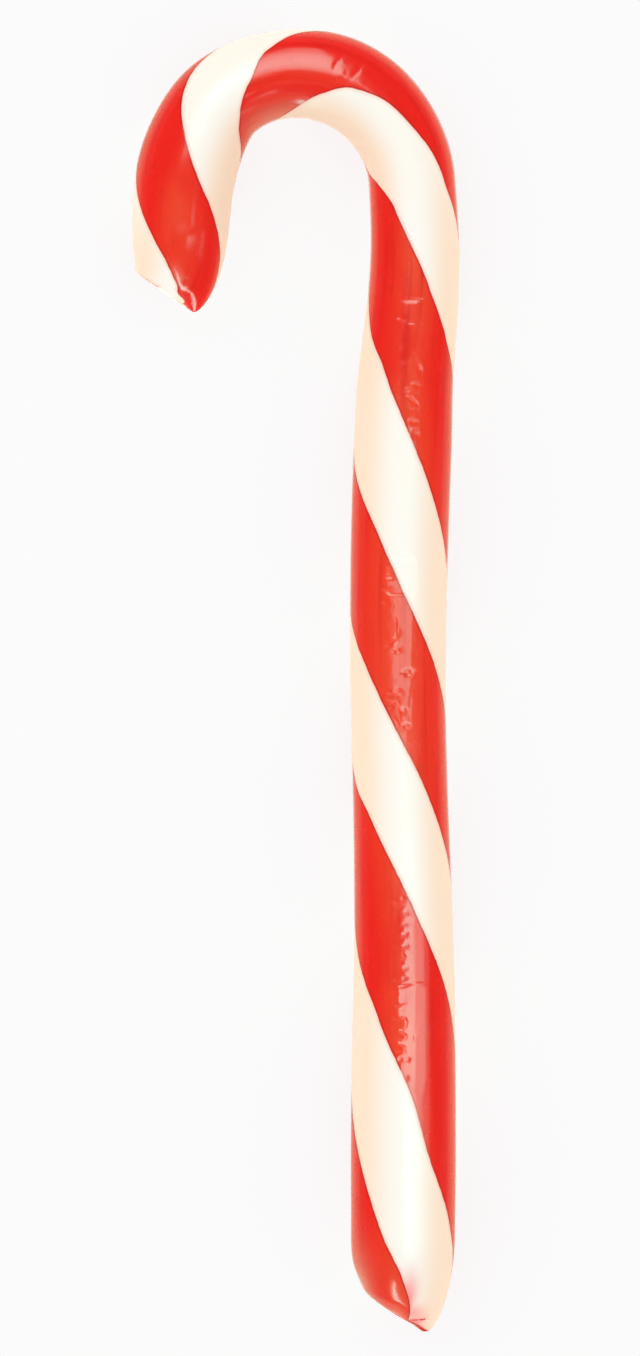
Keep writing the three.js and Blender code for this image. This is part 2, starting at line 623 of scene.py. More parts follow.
@dataclass(frozen=True)
class Facet:
    """A place on the shown side that was pressed flat while the sugar was warm."""

    first: float  # where it starts, along the rod
    last: float
    lean: float  # how far it faces to the right of straight up, in degrees
    depth: float  # how deep it cuts into the round rod
    start_blend: float  # over which it starts
    end_blend: float
    border: tuple[Place, ...] = ()  # (at, across) of a ragged left border
    softness: float = 0.008
    slope: float = 0.0  # how much deeper it cuts with each millimetre along the rod
    border_blend: float = 0.1
    least_facing: float = 0.2  # keeps the cut finite on the far side of the rod

    def height(self, at: Array, angle: Array, radius: Array) -> Array:
        """How far it lowers the skin at each place.

        Args:
            at: Places along the rod.
            angle: Angles round the rod from straight up, in radians.
            radius: The rod's radius at each place.

        Returns:
            Heights, all zero or less.
        """
        facing = np.maximum(np.cos(angle - math.radians(self.lean)), self.least_facing)
        window = smooth_step(at, self.first, self.first + self.start_blend)
        window = window * (1.0 - smooth_step(at, self.last - self.end_blend, self.last))
        depth = (self.depth + self.slope * (at - self.first)) * window
        cut = (radius - depth) / facing - radius
        blend = 0.5 * (cut - np.sqrt(cut**2 + self.softness**2) + self.softness)
        if self.border:
            places, reach = zip(*self.border)
            beyond = angle * radius - np.interp(at, places, reach)
            blend = blend * smooth_step(beyond, -self.border_blend, self.border_blend)
        return np.minimum(blend, 0.0)


@dataclass(frozen=True)
class Mottle:
    """A patch of fine unevenness."""

    at: float
    across: float
    length: float
    width: float
    grain: float  # the size of one rise and fall
    depth: float
    finer: float = 2.1  # how many times finer its second layer is
    finer_share: float = 0.5
    least_fade: float = 0.02

    def height(self, at: Array, across: Array) -> Array:
        """How far it lifts the skin.

        Args:
            at: Places along the rod.
            across: Places over the skin, to the right of the run.

        Returns:
            Heights in millimetres, outwards.
        """
        ahead = (at - self.at) / self.length
        aside = (across - self.across) / self.width
        fade = np.exp(-(ahead**4) - aside**4)
        lift = np.zeros(at.shape)
        for place in np.flatnonzero(fade > self.least_fade):
            spot = Vector((at[place] / self.grain, across[place] / self.grain, self.at))
            lift[place] = noise.noise(spot) + self.finer_share * noise.noise(spot * self.finer)
        return self.depth * fade * lift


Mark = Dimple | Comb | Groove | Mottle


@dataclass
class HandMarks:
    """What handling left in the warm sugar: pressed flats, combs, grooves, dimples and folds."""

    facets: tuple[Facet, ...] = (
        Facet(
            first=26.0,
            last=40.4,
            lean=4.0,
            depth=0.12,
            start_blend=4.0,
            end_blend=0.35,
            border=(
                (26.0, -1.0), (29.2, 0.1), (29.7, -0.3), (31.2, -0.1), (31.8, -0.9),
                (32.2, 0.2), (33.0, 0.15), (33.35, -0.7), (33.55, -0.7), (33.8, 0.3),
                (34.4, 0.25), (34.7, -0.6), (34.9, -0.6), (35.2, 0.3), (35.9, 0.4), (36.3, 0.2),
                (36.55, -1.3), (37.2, -1.3), (37.8, 0.1), (38.3, -1.0), (39.0, -0.7),
                (40.4, -0.9),
            ),
        ),
        Facet(26.0, 40.3, 16.5, 0.08, 4.0, 0.6, softness=0.02),
        Facet(40.3, 48.1, 7.5, 0.034, 0.3, 0.35),
        Facet(40.3, 48.1, 17.0, 0.040, 0.3, 0.35, softness=0.02),
        Facet(
            first=68.5,
            last=90.2,
            lean=4.0,
            depth=0.06,
            start_blend=3.0,
            end_blend=2.5,
            slope=0.007,
            border=(
                (68.5, 0.3), (71.7, 0.2), (73.4, -0.5), (74.6, -1.4), (78.1, -1.4),
                (79.3, -0.9), (80.3, -0.1), (82.6, -0.2), (83.6, -0.7), (84.6, -0.6),
                (85.2, -3.0), (90.2, -3.0),
            ),
        ),
        Facet(84.9, 91.0, 4.0, 0.30, 1.0, 1.5),
    )
    marks: tuple[Mark, ...] = (
        # The comb of small teeth down the left of the pressed strip.
        Comb(40.9, 48.7, 7, 0.05, 0.2, 0.34, 0.42, 0.07),
        Dimple(50.2, -0.05, 0.3, 0.35, 0.07),
        Dimple(49.9, -0.85, 0.35, 0.35, 0.06),
        Dimple(50.1, -1.3, 0.25, 0.25, 0.04),
        Dimple(40.85, -1.0, 0.28, 0.35, 0.08),
        Groove(((40.0, -0.8), (40.05, -0.2), (40.3, 0.5), (40.45, 1.1)), 0.2, 0.08),
        Groove(((38.0, -1.3), (37.85, -0.6), (38.0, 0.1)), 0.22, 0.07),
        Dimple(39.2, -1.2, 0.3, 0.3, 0.05),
        Groove(((36.35, -1.45), (36.3, -0.1)), 0.2, 0.08),
        Dimple(35.1, -1.15, 1.0, 0.4, 0.06),
        Groove(((35.0, -0.7), (35.0, 0.0)), 0.18, 0.06),
        Groove(((34.0, -1.3), (34.0, 0.05)), 0.2, 0.07),
        Dimple(32.65, -0.65, 0.35, 0.4, 0.07),
        Dimple(31.4, -0.5, 0.26, 0.26, 0.09),
        Dimple(31.45, 0.45, 0.22, 0.24, 0.07),
        Dimple(29.3, 0.3, 0.26, 0.22, 0.06),
        Groove(
            ((36.8, 1.45), (35.1, 1.45), (34.4, 1.2), (34.0, 0.95), (33.4, 1.1), (32.6, 1.15)),
            0.13,
            0.03,
        ),
        # Crescents further up.
        Groove(((88.6, -2.5), (89.1, -1.75), (88.85, -1.0)), 0.34, 0.14),
        Dimple(88.3, -1.55, 0.45, 0.86, 0.16),
        Groove(((87.6, -1.85), (87.85, -1.1), (87.65, -0.55)), 0.30, 0.12),
        Dimple(87.1, -2.0, 0.3, 0.38, 0.09),
        Dimple(86.2, -1.4, 0.35, 0.54, 0.12),
        Dimple(84.75, -1.6, 0.36, 0.5, 0.15),
        Groove(((81.8, -0.15), (81.1, 0.08), (80.5, -0.35), (80.1, -1.2)), 0.22, 0.10),
        Dimple(80.9, -1.7, 0.4, 0.54, 0.07),
        Groove(((79.4, -1.5), (79.8, -1.05), (79.5, -0.6)), 0.26, 0.10),
        Dimple(79.15, -0.13, 0.26, 0.43, 0.15),
        Dimple(76.55, 1.15, 0.36, 0.6, 0.18),
        Groove(((74.3, -1.4), (74.25, -0.65), (74.6, 0.0), (73.9, 0.65)), 0.19, 0.12),
        Dimple(73.5, -0.6, 0.4, 0.76, 0.14),
        Dimple(73.1, -0.1, 0.2, 0.27, 0.09),
        Dimple(72.5, -0.85, 0.25, 0.32, 0.09),
        Dimple(72.0, 0.65, 0.35, 0.38, 0.12),
        Groove(((71.3, -0.5), (70.4, 0.0), (69.6, 0.2)), 0.19, 0.09),
        Dimple(70.35, 0.85, 0.32, 0.39, 0.15),
        Groove(((75.0, 1.6), (73.0, 1.35), (69.5, 1.2)), 0.15, 0.05),
        Mottle(79.0, 0.0, 10.5, 2.2, 1.0, 0.010),
        Mottle(79.0, -0.9, 10.0, 1.2, 0.8, 0.016),
        # Fine wrinkles below the crook.
        Groove(((119.9, -1.6), (120.05, -0.3), (120.1, 1.2)), 0.22, 0.11),
        Groove(((117.85, -1.8), (117.9, -0.6)), 0.23, 0.13),
        Groove(((118.0, 1.57), (115.7, 1.9), (113.4, 2.05)), 0.45, 0.06),
        Groove(((117.5, -0.4), (117.4, 0.4)), 0.17, 0.07),
        Dimple(112.0, 1.5, 0.6, 0.25, 0.10, -12.0),
        Dimple(110.15, 1.5, 0.22, 0.52, 0.11),
        Dimple(109.6, 0.3, 0.25, 0.34, 0.08),
        Groove(((108.9, 0.3), (108.3, 0.9), (107.8, 1.5)), 0.18, 0.13),
        Dimple(105.85, 1.1, 0.28, 0.40, 0.13),
        Dimple(104.45, 1.35, 0.35, 0.34, 0.13, 20.0),
        Mottle(112.0, 0.6, 9.0, 2.2, 1.3, 0.035),
        # The puckers on the crook.
        Groove(((149.7, 3.0), (150.1, 1.4), (150.1, 0.6)), 0.28, 0.06),
        Groove(((147.7, 3.2), (147.7, 2.4), (147.9, 0.7)), 0.28, 0.06),
        Dimple(149.2, 0.7, 0.35, 0.4, -0.03),
        Mottle(148.6, 2.0, 2.6, 2.2, 0.9, 0.02),
        Groove(((162.4, -4.9), (161.4, -4.9), (160.8, -5.4)), 0.25, 0.1),
        # Folds at the snipped ends.
        Dimple(4.2, -8.8, 2.6, 3.2, 0.40),
        Dimple(184.95, -1.6, 0.24, 0.28, 0.06),
    )
    shown_limits: Span = (90.0, 126.0)  # degrees from straight up, where the marks fade out
    sway: float = 0.03  # of the slow unevenness of the whole skin
    sway_size: float = 9.0  # of one rise and fall of it
    sway_level: float = 0.6  # keeps it inwards

    def height(self, at: Array, angle: Array, radius: Array) -> Array:
        """How far all marks together lift the skin.

        Args:
            at: Places along the rod.
            angle: Angles round the rod from straight up, in radians.
            radius: The rod's radius at each place.

        Returns:
            Heights in millimetres, outwards.
        """
        across = angle * radius
        pressed = np.minimum.reduce([facet.height(at, angle, radius) for facet in self.facets])
        marked = sum(mark.height(at, across) for mark in self.marks)
        shown = 1.0 - smooth_step(np.degrees(np.abs(angle)), *self.shown_limits)
        return (pressed + marked) * shown + self._unevenness(at, angle, radius)

    def _unevenness(self, at: Array, angle: Array, radius: Array) -> Array:
        """The slow rise and fall of the skin.

        Args:
            at: Places along the rod.
            angle: Angles round the rod from straight up, in radians.
            radius: The rod's radius at each place.

        Returns:
            Heights in millimetres, never above zero.
        """
        spots = np.stack([at, radius * np.cos(angle), radius * np.sin(angle)], axis=-1) / self.sway_size
        swell = np.array([noise.noise(Vector(spot)) for spot in spots])
        return (swell - self.sway_level) * self.sway


Value = float | int | bool | str | tuple | Output


class Kind(Enum):
    """What a node group's socket carries."""

    GEOMETRY = "NodeSocketGeometry"
    MATERIAL = "NodeSocketMaterial"
    COLOUR = "NodeSocketColor"
    VECTOR = "NodeSocketVector"
    NUMBER = "NodeSocketFloat"
    COUNT = "NodeSocketInt"


@dataclass
class Graph:
    """Adds nodes to one node tree. An input takes a plain value or another node's output."""

    tree: bpy.types.NodeTree

    @classmethod
    def group(cls, name: str, kind: str, given: dict[str, Kind], made: dict[str, Kind]) -> "Graph":
        """Starts a node group.

        Args:
            name: The group's name.
            kind: The type of its node tree.
            given: Its inputs, by name.
            made: Its outputs, by name.

        Returns:
            A graph of the group, still without nodes.
        """
        tree = bpy.data.node_groups.new(name, kind)
        for way, sockets in (("INPUT", given), ("OUTPUT", made)):
            for label, carried in sockets.items():
                tree.interface.new_socket(label, in_out=way, socket_type=carried.value)
        return cls(tree)

    def node(
        self, kind: str, inputs: dict[str | int, Value] | None = None, **settings: object
    ) -> bpy.types.Node:
        """Adds one node.

        Args:
            kind: The node's type.
            inputs: Values or sockets for its inputs, by name or index.
            **settings: Properties of the node.

        Returns:
            The node.
        """
        node = self.tree.nodes.new(kind)
        for name, setting in settings.items():
            setattr(node, name, setting)
        for key, value in (inputs or {}).items():
            self.feed(self.input(node, key), value)
        return node

    def feed(self, socket: Output, value: Value) -> None:
        """Links a socket to an input, or sets the input's own value.

        Args:
            socket: The input.
            value: The socket to link, or the value to set.
        """
        if isinstance(value, Output):
            self.tree.links.new(value, socket)
        else:
            socket.default_value = value

    def math(self, operation: str, *values: Value) -> Output:
        """The result of one Math node."""
        node = self.node("ShaderNodeMath", dict(enumerate(values)), operation=operation)
        return node.outputs[0]

    def vector(self, operation: str, *values: Value) -> Output:
        """The result of one Vector Math node.

        Args:
            operation: What it does.
            *values: What it does it to. The second of a SCALE is a number.

        Returns:
            The node's vector.
        """
        node = self.node("ShaderNodeVectorMath", operation=operation)
        for order, value in enumerate(values):
            is_scale = operation == "SCALE" and order == 1
            self.feed(node.inputs["Scale"] if is_scale else node.inputs[order], value)
        return node.outputs[0]

    def ramp(
        self, value: Value, low: float, high: float, to_low: float = 0.0, to_high: float = 1.0
    ) -> Output:
        """A value that goes smoothly from one number to another.

        Args:
            value: What it depends on.
            low: Where it leaves to_low.
            high: Where it reaches to_high.
            to_low: What it is below low.
            to_high: What it is above high.

        Returns:
            The value.
        """
        node = self.node("ShaderNodeMapRange", interpolation_type="SMOOTHSTEP")
        for order, number in enumerate((value, low, high, to_low, to_high)):
            self.feed(node.inputs[order], number)
        return node.outputs[0]

    def mix(self, share: Value, low: Value, high: Value) -> Output:
        """A colour mixed from two.

        Args:
            share: How much of the second it takes.
            low: The first colour.
            high: The second colour.

        Returns:
            The colour.
        """
        node = self.node("ShaderNodeMix", data_type="RGBA")
        sockets = [socket for socket in node.inputs if socket.enabled]
        for socket, value in zip(sockets, (share, low, high)):
            self.feed(socket, (*value, 1.0) if isinstance(value, tuple) else value)
        return next(socket for socket in node.outputs if socket.enabled)

    @staticmethod
    def input(node: bpy.types.Node, key: str | int) -> Output:
        """One input of a node.

        Args:
            node: The node.
            key: The input's index, or the name of an active one.

        Returns:
            The input.
        """
        if isinstance(key, int):
            return node.inputs[key]
        return next(socket for socket in node.inputs if socket.name == key and socket.enabled)


@dataclass
class SkinTree:
    """Geometry Nodes that wrap a round skin along a line of stations."""

    sides: int = 112
    crowding: float = 0.6  # how much closer the corners stand on the shown side

    def build(self) -> bpy.types.NodeTree:
        """Builds the tree.

        Returns:
            A tree whose input line carries middle, sideways and upward at each point.
        """
        inputs = {
            "Line": Kind.GEOMETRY,
            "Sides": Kind.COUNT,
            "Crowding": Kind.NUMBER,
            "Slab Level": Kind.NUMBER,
            "Sugar": Kind.MATERIAL,
        }
        graph = Graph.group("rod_skin", "GeometryNodeTree", inputs, {"Skin": Kind.GEOMETRY})
        given = graph.node("NodeGroupInput").outputs
        profile = self._profile(graph, given["Sides"])
        line = graph.node("GeometryNodeMeshToCurve", {"Mesh": given["Line"]})
        tube = graph.node(
            "GeometryNodeCurveToMesh",
            {"Curve": line.outputs["Curve"], "Profile Curve": profile, "Fill Caps": True},
        )
        place = self._place(graph, given["Crowding"], given["Slab Level"])
        skin = tube.outputs["Mesh"]
        for kind, settings in (
            ("GeometryNodeSetPosition", {"Position": place}),
            ("GeometryNodeSetShadeSmooth", {}),
            ("GeometryNodeRealizeInstances", {}),
            ("GeometryNodeSetMaterial", {"Material": given["Sugar"]}),
        ):
            skin = graph.node(kind, {"Geometry": skin, **settings}).outputs[0]
        graph.node("NodeGroupOutput", {"Skin": skin})
        return graph.tree

    def _profile(self, graph: Graph, sides: Output) -> Output:
        """A closed profile whose points know their share of the way round.

        Args:
            graph: The tree's graph.
            sides: How many points it has.

        Returns:
            The profile.
        """
        circle = graph.node("GeometryNodeCurvePrimitiveCircle", {"Resolution": sides})
        index = graph.node("GeometryNodeInputIndex").outputs[0]
        corner = graph.math("DIVIDE", index, sides)
        kind = "GeometryNodeStoreNamedAttribute"
        stored = graph.node(kind, {"Geometry": circle.outputs["Curve"], "Name": "corner"})
        graph.feed(graph.input(stored, "Value"), corner)
        return stored.outputs[0]

    def _place(self, graph: Graph, crowding: Output, level: Output) -> Output:
        """Where each corner of the tube goes.

        Args:
            graph: The tree's graph.
            crowding: How much closer the corners stand on the shown side.
            level: The slab's height.

        Returns:
            The places.
        """
        turn = graph.math("MULTIPLY", self._named(graph, "corner", "FLOAT"), FULL_TURN)
        crowded = graph.math("MULTIPLY", graph.math("SINE", turn), crowding)
        angle = graph.math("SUBTRACT", turn, crowded)
        sideways = self._named(graph, "sideways", "FLOAT_VECTOR")
        sideways = graph.vector("SCALE", sideways, graph.math("SINE", angle))
        rise = graph.math("MULTIPLY", self._named(graph, "upward", "FLOAT"), graph.math("COSINE", angle))
        lift = graph.node("ShaderNodeCombineXYZ", {"Z": rise}).outputs[0]
        spot = graph.vector("ADD", self._named(graph, "middle", "FLOAT_VECTOR"), sideways)
        spot = graph.vector("ADD", spot, lift)
        parts = graph.node("ShaderNodeSeparateXYZ", {"Vector": spot}).outputs
        above = graph.math("MAXIMUM", parts["Z"], level)
        place = graph.node("ShaderNodeCombineXYZ", {"X": parts["X"], "Y": parts["Y"], "Z": above})
        return place.outputs[0]

    @staticmethod
    def _named(graph: Graph, name: str, kind: str) -> Output:
        """The value that each point carries under a name."""
        node = graph.node("GeometryNodeInputNamedAttribute", {"Name": name}, data_type=kind)
        return next(socket for socket in node.outputs if socket.name == "Attribute" and socket.enabled)


@dataclass(frozen=True)
class Streaks:
    """Noise that is drawn out along the rod."""

    scale: tuple[float, float, float]  # along the rod, upwards and to the side
    detail: float

    def over(self, graph: Graph, skin: Output) -> Output:
        """The noise over the skin.

        Args:
            graph: The graph that gets its nodes.
            skin: Places on the skin: along the rod, upwards and to the side.

        Returns:
            Values from 0 to 1.
        """
        spread = graph.node("ShaderNodeMapping", {"Vector": skin, "Scale": self.scale}).outputs[0]
        inputs = {"Vector": spread, "Scale": 1.0, "Detail": self.detail}
        return graph.node("ShaderNodeTexNoise", inputs).outputs["Fac"]


@dataclass(frozen=True)
class SugarFinish:
    """Pulled hard sugar: glossy, a little translucent, striped red and ivory, with light and shade
    painted in.
    """

    red: Colour = (0.88, 0.019, 0.012)
    # painted light: the red is made a little lighter down the sides of the rod, as if more light fell
    # there
    painted_light_side_red: Colour = (0.89, 0.022, 0.011)  # of the red down the sides of the rod
    deep_red: Colour = (0.72, 0.010, 0.011)
    # painted light: an orange glow painted on the crown of the red, where most light falls
    crown_glow_red: Colour = (0.90, 0.068, 0.027)  # of the red on the crown of the rod
    painted_glow_red: Colour = (0.82, 0.18, 0.11)  # the colour of a soft glow painted on the red
    ivory: Colour = (1.0, 0.96, 0.88)
    # painted shade: the white turns warmer and darker down the sides of the rod, where less light falls
    side_shade_peach: Colour = (1.0, 0.79, 0.60)  # of the white down the sides of the rod
    blush: Colour = (1.0, 0.58, 0.45)
    # the pink of red bleeding into the white, and of a painted glint at the tip
    bleed_and_glint_pink: Colour = (1.0, 0.22, 0.20)
    line: Colour = (0.40, 0.010, 0.010)
    # random clouds that break up the painted orange glow on the crown
    clouds: Streaks = Streaks((0.10, 0.22, 0.22), 2.0)  # of orange in the red
    deeps: Streaks = Streaks((0.05, 0.9, 0.9), 3.0)  # of deep red
    pulls: Streaks = Streaks((0.10, 1.8, 1.8), 3.0)  # fine ridges
    dulls: Streaks = Streaks((0.3, 0.6, 0.6), 3.0)  # where the gloss is weaker
    cloud_ramp: Ramp = (0.25, 0.65, 0.35, 1.0)
    deep_ramp: Ramp = (0.5, 0.75, 0.0, 0.6)
    dull_ramp: Ramp = (0.3, 0.75, 0.16, 0.30)  # its values are the red's roughness
    # where the painted orange glow on the crown fades out down the sides
    crown_start: float = 0.05  # of the orange's fade, as a share of the way down the side
    crown_end: float = 0.7
    crown_glow_spread: float = 0.8  # how much further the painted crown glow reaches for each unit of its mask along the rod
    # where the painted light down the sides of the red fades in
    red_painted_light_ramp: Ramp = (0.65, 0.95)
    # where the painted side shade fades in down the sides of the white
    white_side_shade_ramp: Ramp = (0.12, 0.82)
    line_at: float = 0.10  # of the dark line's middle, in the red, in millimetres
    line_ramp: Ramp = (0.0, 0.20, 0.6, 0.0)
    fringe_ramp: Ramp = (0.0, 0.55, 0.55, 0.0)
    seam_ramp: Ramp = (0.0, 0.18, -1.0, 0.0)
    edge_softness: float = 0.07
    gloss_softness: float = 0.1  # of the change of gloss between the sugars
    wobble: float = 0.16  # of the edges between the sugars, both ways together
    wobble_scale: float = 0.9
    wobble_detail: float = 2.0
    pull_height: float = 0.5
    relief: float = 0.00002  # metres, of the fine unevenness
    white_roughness: float = 0.2  # more, where the sugar is white
    white_coat: float = 0.2  # the white is less glossy than the red
    coat_roughness: float = 0.12
    ior: float = 1.5
    scatter: Colour = (1.0, 0.3, 0.15)  # how far light of each colour spreads
    scatter_reach: float = 0.003  # metres
    # masks read from the skin; all but the first carry painted light, and the first also a painted glint
    masks: tuple[str, ...] = ("Bleed", "Warmth", "Thin", "Pale")

    def build(self) -> bpy.types.Material:
        """Builds the material.

        Returns:
            The finished sugar.
        """
        material = bpy.data.materials.new("striped_sugar")
        material.use_nodes = True
        material.node_tree.nodes.clear()
        graph = Graph(material.node_tree)
        stripe = graph.node("ShaderNodeAttribute", attribute_name="stripe").outputs["Fac"]
        skin = graph.node("ShaderNodeAttribute", attribute_name="skin").outputs["Vector"]
        read = {"Skin": skin, "Stripe": stripe}
        grain = graph.node("ShaderNodeGroup", read, node_tree=self._grain_group()).outputs
        for name in self.masks:
            mask = graph.node("ShaderNodeAttribute", attribute_name=name.lower())
            read[name] = mask.outputs["Fac"]
        colours = graph.node("ShaderNodeGroup", read, node_tree=self._colour_group()).outputs
        inputs = {"Strength": 1.0, "Distance": self.relief, "Height": grain["Height"]}
        bump = graph.node("ShaderNodeBump", inputs)
        sugar = graph.node(
            "ShaderNodeBsdfPrincipled",
            {
                "Base Color": colours["Color"],
                "Roughness": grain["Roughness"],
                "Normal": bump.outputs["Normal"],
                "IOR": self.ior,
                "Subsurface Weight": 1.0,
                "Subsurface Radius": self.scatter,
                "Subsurface Scale": self.scatter_reach,
                "Coat Weight": grain["Coat"],
                "Coat Roughness": self.coat_roughness,
                "Coat IOR": self.ior,
            },
            subsurface_method="BURLEY",
        )
        graph.node("ShaderNodeOutputMaterial", {"Surface": sugar.outputs["BSDF"]})
        return material

    def _colour_group(self) -> bpy.types.NodeTree:
        """Builds the group of the stripes' colours.

        Returns:
            A group that turns the skin's places and masks into a colour.
        """
        inputs = {"Stripe": Kind.NUMBER, "Skin": Kind.VECTOR}
        inputs.update({name: Kind.NUMBER for name in self.masks})
        graph = Graph.group("stripe_colours", "ShaderNodeTree", inputs, {"Color": Kind.COLOUR})
        given = graph.node("NodeGroupInput").outputs
        ripple = {"Vector": given["Skin"], "Scale": self.wobble_scale, "Detail": self.wobble_detail}
        wave = graph.node("ShaderNodeTexNoise", ripple).outputs["Fac"]
        sway = graph.math("MULTIPLY_ADD", wave, self.wobble, -self.wobble / 2.0)
        stripe = graph.math("ADD", given["Stripe"], sway)
        colour = graph.mix(
            graph.ramp(stripe, -self.edge_softness, self.edge_softness),
            self._red(graph, stripe, given),
            self._white(graph, stripe, given),
        )
        graph.node("NodeGroupOutput", {"Color": colour})
        return graph.tree

    def _red(self, graph: Graph, stripe: Output, given: bpy.types.NodeOutputs) -> Output:
        """The red sugar: light painted on crown, sides and spots; clouded, streaked and darker along its
        edges.

        Args:
            graph: The group's graph.
            stripe: Distance from the nearest edge, below zero in the red.
            given: The group's inputs.

        Returns:
            Its colour.
        """
        skin, warmth = given["Skin"], given["Warmth"]
        aside = self._aside(graph, skin)
        # painted light: an orange glow on the crown of the red, broken by clouds, reaching further along
        # parts of the rod
        clouds = graph.math("ADD", self.clouds.over(graph, skin), warmth)
        reach = graph.math("MULTIPLY_ADD", warmth, self.crown_glow_spread, self.crown_end)
        crown = graph.ramp(aside, self.crown_start, reach, 1.0, 0.0)
        crown = graph.math("MULTIPLY", crown, graph.ramp(clouds, *self.cloud_ramp))
        # painted light: the red turns a little lighter down the sides of the rod
        red = graph.mix(graph.ramp(aside, *self.red_painted_light_ramp), self.red, self.painted_light_side_red)
        red = graph.mix(crown, red, self.crown_glow_red)
        deeps = graph.ramp(self.deeps.over(graph, skin), *self.deep_ramp)
        red = graph.mix(deeps, red, self.deep_red)
        # painted light: a soft orange glow painted on the red in places
        red = graph.mix(given["Thin"], red, self.painted_glow_red)
        away = graph.math("ABSOLUTE", graph.math("ADD", stripe, self.line_at))
        return graph.mix(graph.ramp(away, *self.line_ramp), red, self.line)

    def _white(self, graph: Graph, stripe: Output, given: bpy.types.NodeOutputs) -> Output:
        """The white sugar: painted shade down its sides; pink by the red, where red bleeds, and a
        painted glint.

        Args:
            graph: The group's graph.
            stripe: Distance from the nearest edge, above zero in the white.
            given: The group's inputs.

        Returns:
            Its colour.
        """
        # painted shade: the white is mixed towards its warmer side colour down the sides of the rod
        aside = graph.ramp(self._aside(graph, given["Skin"]), *self.white_side_shade_ramp)
        # painted light: less of that painted shade on the outside of the crook
        aside = graph.math("MULTIPLY", aside, graph.math("SUBTRACT", 1.0, given["Pale"]))
        white = graph.mix(aside, self.ivory, self.side_shade_peach)
        white = graph.mix(graph.ramp(stripe, *self.fringe_ramp), white, self.blush)
        # pink on the white: red bleeding in, and a painted glint at the tip
        return graph.mix(given["Bleed"], white, self.bleed_and_glint_pink)

    @staticmethod
    def _aside(graph: Graph, skin: Output) -> Output:
        """How far a place lies down the side of the rod.

        Args:
            graph: The group's graph.
            skin: Places on the skin: along the rod, upwards and to the side.

        Returns:
            Shares from 0 on the crown of the rod to 1.
        """
        parts = graph.node("ShaderNodeSeparateXYZ", {"Vector": skin}).outputs
        squares = [graph.math("MULTIPLY", parts[axis], parts[axis]) for axis in ("Y", "Z")]
        reach = graph.math("SQRT", graph.math("ADD", *squares))
        rise = graph.math("MAXIMUM", graph.math("DIVIDE", parts["Y"], reach), 0.0)
        return graph.math("SQRT", graph.math("SUBTRACT", 1.0, graph.math("MULTIPLY", rise, rise)))

    def _grain_group(self) -> bpy.types.NodeTree:
        """Builds the group of the skin's fine unevenness and gloss.

        Returns:
            A group that turns the skin's places into a height, a roughness and a coat weight.
        """
        inputs = {"Skin": Kind.VECTOR, "Stripe": Kind.NUMBER}
        made = {"Height": Kind.NUMBER, "Roughness": Kind.NUMBER, "Coat": Kind.NUMBER}
        graph = Graph.group("sugar_grain", "ShaderNodeTree", inputs, made)
        given = graph.node("NodeGroupInput").outputs
        skin, stripe = given["Skin"], given["Stripe"]
        pulls = graph.math("MULTIPLY", self.pulls.over(graph, skin), self.pull_height)
        seam = graph.ramp(graph.math("ABSOLUTE", stripe), *self.seam_ramp)
        roughness = graph.ramp(self.dulls.over(graph, skin), *self.dull_ramp)
        white = graph.ramp(stripe, -self.gloss_softness, self.gloss_softness)
        put = {
            "Height": graph.math("ADD", pulls, seam),
            "Roughness": graph.math("MULTIPLY_ADD", white, self.white_roughness, roughness),
            "Coat": graph.math("MULTIPLY_ADD", white, self.white_coat - 1.0, 1.0),
        }
        graph.node("NodeGroupOutput", put)
        return graph.tree


def numbers(items: bpy.types.bpy_prop_collection, slot: str, size: int = 1) -> Array:
    """Reads what each item of a collection holds.

    Args:
        items: The collection.
        slot: The property to read.
        size: How many numbers it has.

    Returns:
        One number for each item, or one row of them where size isn't 1.
    """
    values = np.empty(len(items) * size, np.float32)
    items.foreach_get(slot, values)
    values = values.astype(float)
    return values if size == 1 else values.reshape(-1, size)


def store(mesh: bpy.types.Mesh, name: str, values: Array) -> None:
    """Gives a mesh's points values under a name.

    Args:
        mesh: The mesh.
        name: The name that they can be read under.
        values: One number or one vector for each point.
    """
    kind, slot = ("FLOAT", "value") if values.ndim == 1 else ("FLOAT_VECTOR", "vector")
    attribute = mesh.attributes.new(name, kind, "POINT")
    attribute.data.foreach_set(slot, np.ascontiguousarray(values, np.float32).ravel())


